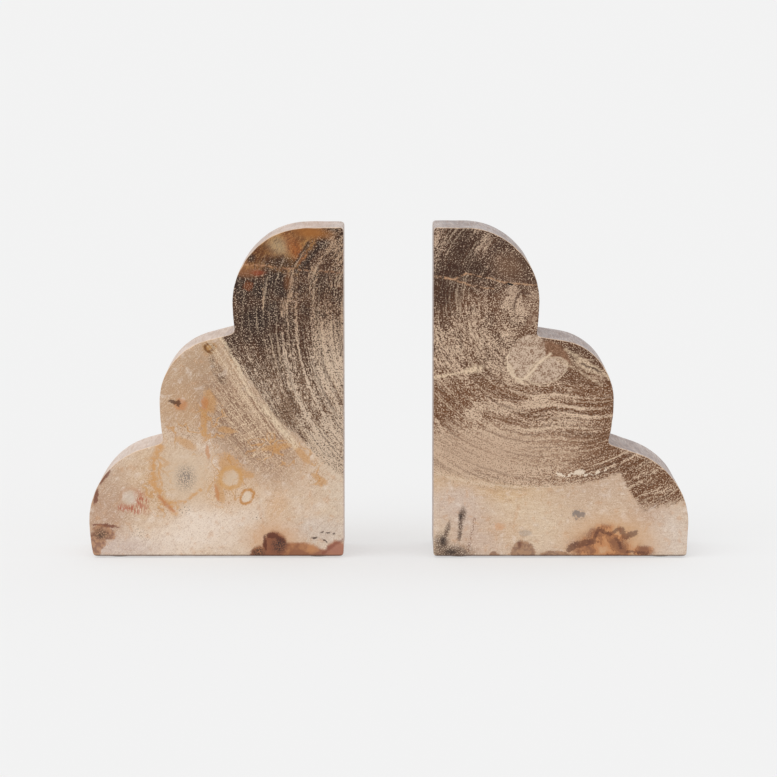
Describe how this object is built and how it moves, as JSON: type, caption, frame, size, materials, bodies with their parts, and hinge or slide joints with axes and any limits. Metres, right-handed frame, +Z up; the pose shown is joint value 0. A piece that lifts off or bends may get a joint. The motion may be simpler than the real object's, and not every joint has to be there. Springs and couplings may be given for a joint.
{
  "type": "book ends",
  "caption": "Stone book ends with stepped scallop outlines, upright inner faces that hold a row of books, and flat bases on thin felt pads.",
  "frame": {"origin": "on the shelf that the pads stand on, under the middle of the pair", "axes": "+X along the row of books, from the left book end to the right one; +Y from the polished front faces to the back; +Z up"},
  "size_m": [0.3004, 0.062, 0.1659],
  "materials": {
    "left_stone": "satin",
    "right_stone": "satin",
    "felt": "matte"
  },
  "bodies": {
    "left_bookend": {"left_block": "left_stone", "left_felt_pad_inner_front": "felt", "left_felt_pad_inner_back": "felt", "left_felt_pad_outer_front": "felt", "left_felt_pad_outer_back": "felt"},
    "right_bookend": {"right_block": "right_stone", "right_felt_pad_inner_front": "felt", "right_felt_pad_inner_back": "felt", "right_felt_pad_outer_front": "felt", "right_felt_pad_outer_back": "felt"}
  },
  "joints": [
    {"name": "shelf_slide", "type": "slide", "parent": "left_bookend", "child": "right_bookend", "axis": [1, 0, 0], "range_m": [-0.044, 0.105]}
  ]
}
